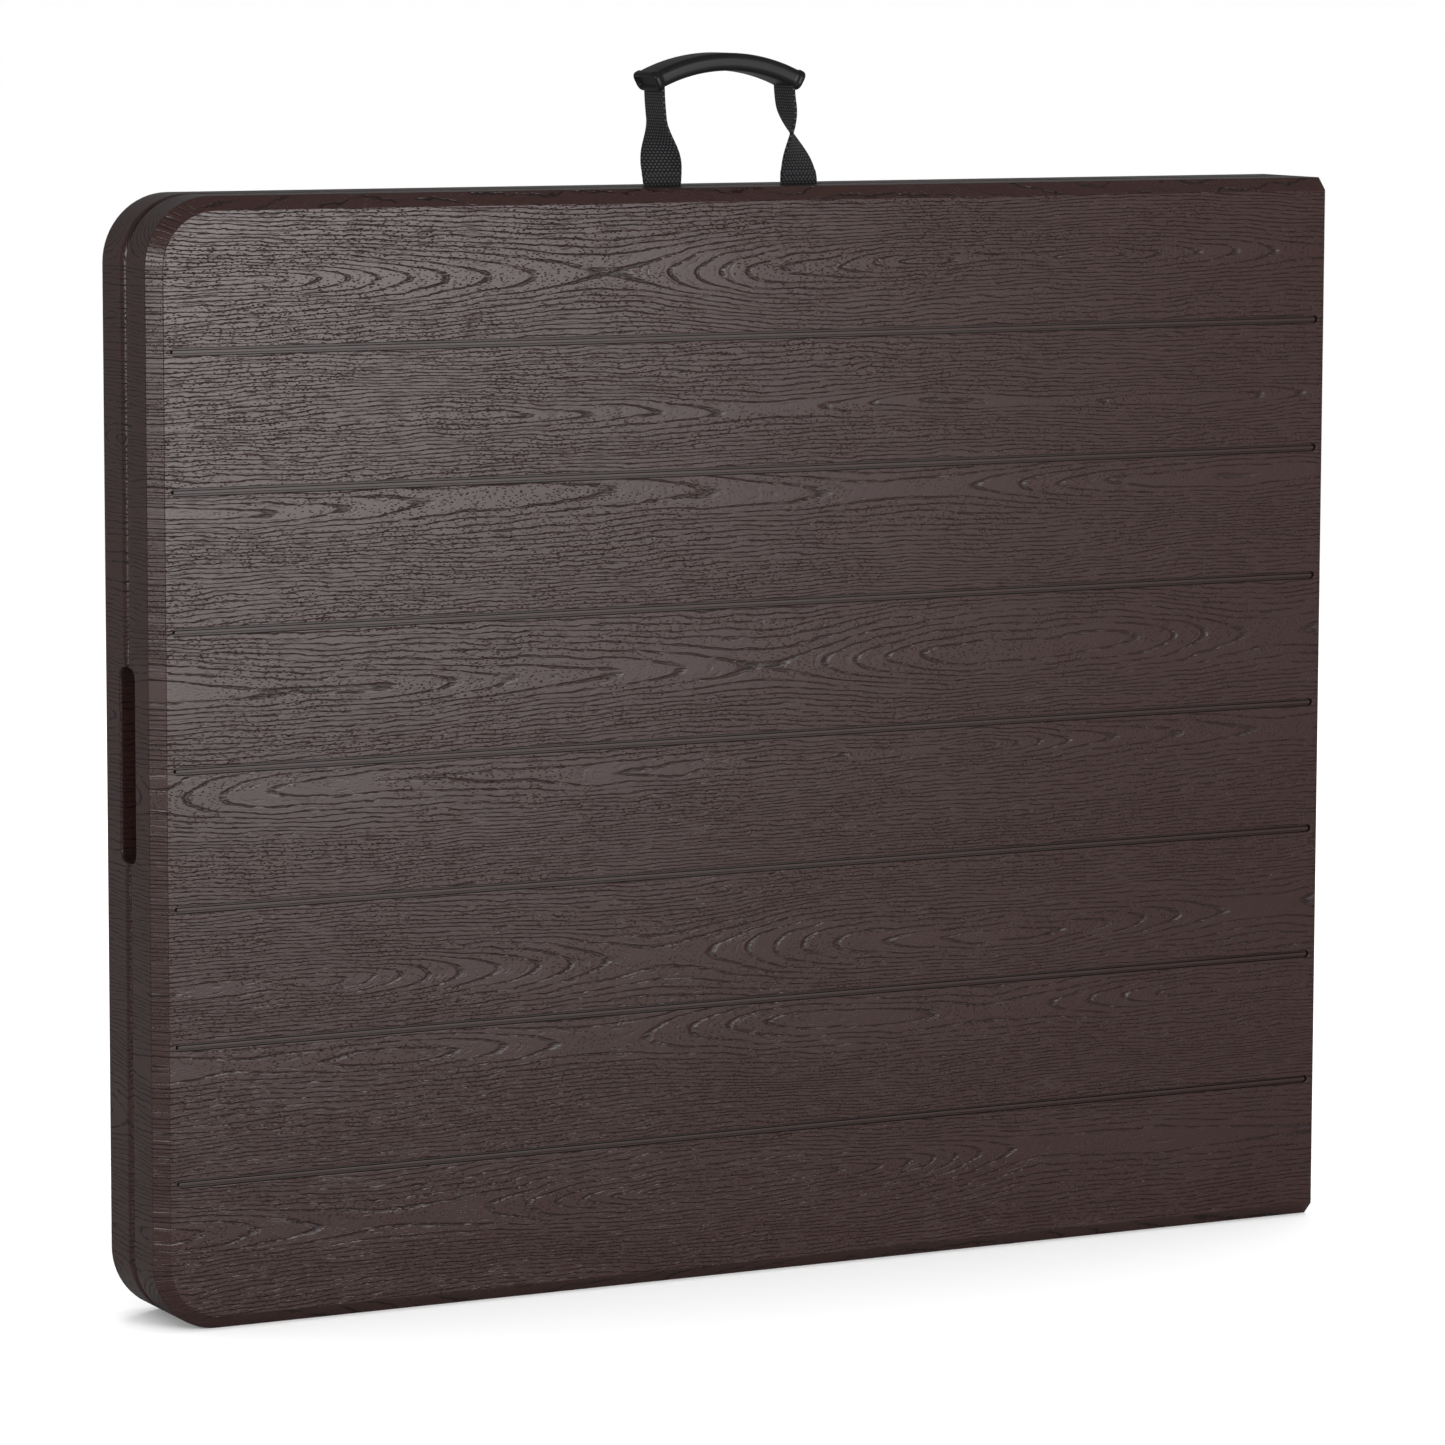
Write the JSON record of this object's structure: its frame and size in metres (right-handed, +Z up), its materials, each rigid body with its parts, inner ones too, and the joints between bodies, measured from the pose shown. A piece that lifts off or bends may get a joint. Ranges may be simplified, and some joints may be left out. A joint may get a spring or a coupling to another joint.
{
  "type": "folding table",
  "caption": "Fold-in-half table with moulded plank top, height-adjustable folding legs, braces, closing latch and webbing carrying handle, stored folded on its long edge.",
  "frame": {"origin": "centre of the folded pack's footprint, on the floor under its lower long edge", "axes": "+X along the halves from the rounded outer end to the fold, +Y from the front half to the rear half, +Z up"},
  "size_m": [0.9054, 0.0914, 0.841],
  "materials": {
    "moulded_top": "satin, moulded wood grain",
    "frame_steel": "semi-gloss powder coat",
    "plated_steel": "zinc plated",
    "black_plastic": "moulded",
    "foot_rubber": "matte",
    "webbing": "woven",
    "grip_plastic": "glossy"
  },
  "bodies": {
    "front_half": {"front_panel": "moulded_top", "front_rails": "frame_steel", "front_rail_plugs": "black_plastic", "front_rail_screws": "plated_steel", "front_hinge_leaves": "plated_steel", "front_hinge_screws": "plated_steel", "front_pivot_brackets": "frame_steel", "front_pivot_pins": "plated_steel", "front_leg_clips": "black_plastic", "front_brace_catches": "frame_steel", "front_bracket_screws": "plated_steel", "hinge_pins": "plated_steel", "handle_tabs": "webbing", "handle_rivets": "plated_steel", "latch_pivot": "plated_steel"},
    "rear_half": {"rear_panel": "moulded_top", "rear_rails": "frame_steel", "rear_rail_plugs": "black_plastic", "rear_rail_screws": "plated_steel", "rear_hinge_leaves": "plated_steel", "rear_hinge_screws": "plated_steel", "rear_pivot_brackets": "frame_steel", "rear_pivot_pins": "plated_steel", "rear_leg_clips": "black_plastic", "rear_brace_catches": "frame_steel", "rear_bracket_screws": "plated_steel", "latch_keeper": "plated_steel"},
    "front_leg": {"front_leg_pivot_tube": "frame_steel", "front_leg_bushes": "black_plastic", "front_leg_posts": "frame_steel", "front_leg_crossbar": "frame_steel", "front_leg_collars": "black_plastic"},
    "front_lower_leg": {"front_lower_tubes": "frame_steel", "front_foot_bar": "frame_steel", "front_foot_caps": "foot_rubber"},
    "front_brace": {"front_brace_arms": "frame_steel", "front_brace_rod": "plated_steel"},
    "front_knob_low": {"front_knob_low": "black_plastic", "front_knob_screw_low": "plated_steel"},
    "front_knob_high": {"front_knob_high": "black_plastic", "front_knob_screw_high": "plated_steel"},
    "rear_leg": {"rear_leg_pivot_tube": "frame_steel", "rear_leg_bushes": "black_plastic", "rear_leg_posts": "frame_steel", "rear_leg_crossbar": "frame_steel", "rear_leg_collars": "black_plastic"},
    "rear_lower_leg": {"rear_lower_tubes": "frame_steel", "rear_foot_bar": "frame_steel", "rear_foot_caps": "foot_rubber"},
    "rear_brace": {"rear_brace_arms": "frame_steel", "rear_brace_rod": "plated_steel"},
    "rear_knob_low": {"rear_knob_low": "black_plastic", "rear_knob_screw_low": "plated_steel"},
    "rear_knob_high": {"rear_knob_high": "black_plastic", "rear_knob_screw_high": "plated_steel"},
    "handle": {"handle_webbing": "webbing", "handle_grip": "grip_plastic"},
    "latch": {"latch_hook": "plated_steel"}
  },
  "joints": [
    {"name": "table_fold", "type": "hinge", "parent": "front_half", "child": "rear_half", "pos_m": [0.44725, 0, 0.375], "axis": [0, 0, -1], "range_deg": [0, 180]},
    {"name": "front_leg_swing", "type": "hinge", "parent": "front_half", "child": "front_leg", "pos_m": [-0.38775, -0.015, 0.375], "axis": [0, 0, 1], "range_deg": [0, 90]},
    {"name": "front_brace_swing", "type": "hinge", "parent": "front_leg", "child": "front_brace", "pos_m": [-0.15775, -0.015, 0.375], "axis": [0, 0, -1], "range_deg": [0, 135]},
    {"name": "front_leg_extend", "type": "slide", "parent": "front_leg", "child": "front_lower_leg", "axis": [1, 0, 0], "range_m": [0, 0.29425]},
    {"name": "front_knob_turn_low", "type": "hinge", "parent": "front_leg", "child": "front_knob_low", "pos_m": [-0.02375, -0.015, 0.155], "axis": [0, 0, 1], "range_deg": [0, 180]},
    {"name": "front_knob_turn_high", "type": "hinge", "parent": "front_leg", "child": "front_knob_high", "pos_m": [-0.02375, -0.015, 0.595], "axis": [0, 0, -1], "range_deg": [0, 180]},
    {"name": "rear_leg_swing", "type": "hinge", "parent": "rear_half", "child": "rear_leg", "pos_m": [-0.38775, 0.015, 0.375], "axis": [0, 0, -1], "range_deg": [0, 90]},
    {"name": "rear_brace_swing", "type": "hinge", "parent": "rear_leg", "child": "rear_brace", "pos_m": [-0.15775, 0.015, 0.375], "axis": [0, 0, 1], "range_deg": [0, 135]},
    {"name": "rear_leg_extend", "type": "slide", "parent": "rear_leg", "child": "rear_lower_leg", "axis": [1, 0, 0], "range_m": [0, 0.29425]},
    {"name": "rear_knob_turn_low", "type": "hinge", "parent": "rear_leg", "child": "rear_knob_low", "pos_m": [-0.02375, 0.015, 0.155], "axis": [0, 0, 1], "range_deg": [0, 180]},
    {"name": "rear_knob_turn_high", "type": "hinge", "parent": "rear_leg", "child": "rear_knob_high", "pos_m": [-0.02375, 0.015, 0.595], "axis": [0, 0, -1], "range_deg": [0, 180]},
    {"name": "handle_swing", "type": "hinge", "parent": "front_half", "child": "handle", "pos_m": [-0.007, -0.0017, 0.753], "axis": [1, 0, 0], "range_deg": [-65, 65]},
    {"name": "latch_turn", "type": "hinge", "parent": "front_half", "child": "latch", "pos_m": [-0.42975, -0.012, 0.49], "axis": [-1, 0, 0], "range_deg": [0, 90]}
  ],
  "couplings": [
    {"joint": "front_leg_swing", "follows": "table_fold", "ratio": 0.5},
    {"joint": "front_brace_swing", "follows": "table_fold", "ratio": 0.75},
    {"joint": "rear_leg_swing", "follows": "table_fold", "ratio": 0.5},
    {"joint": "rear_brace_swing", "follows": "table_fold", "ratio": 0.75}
  ]
}
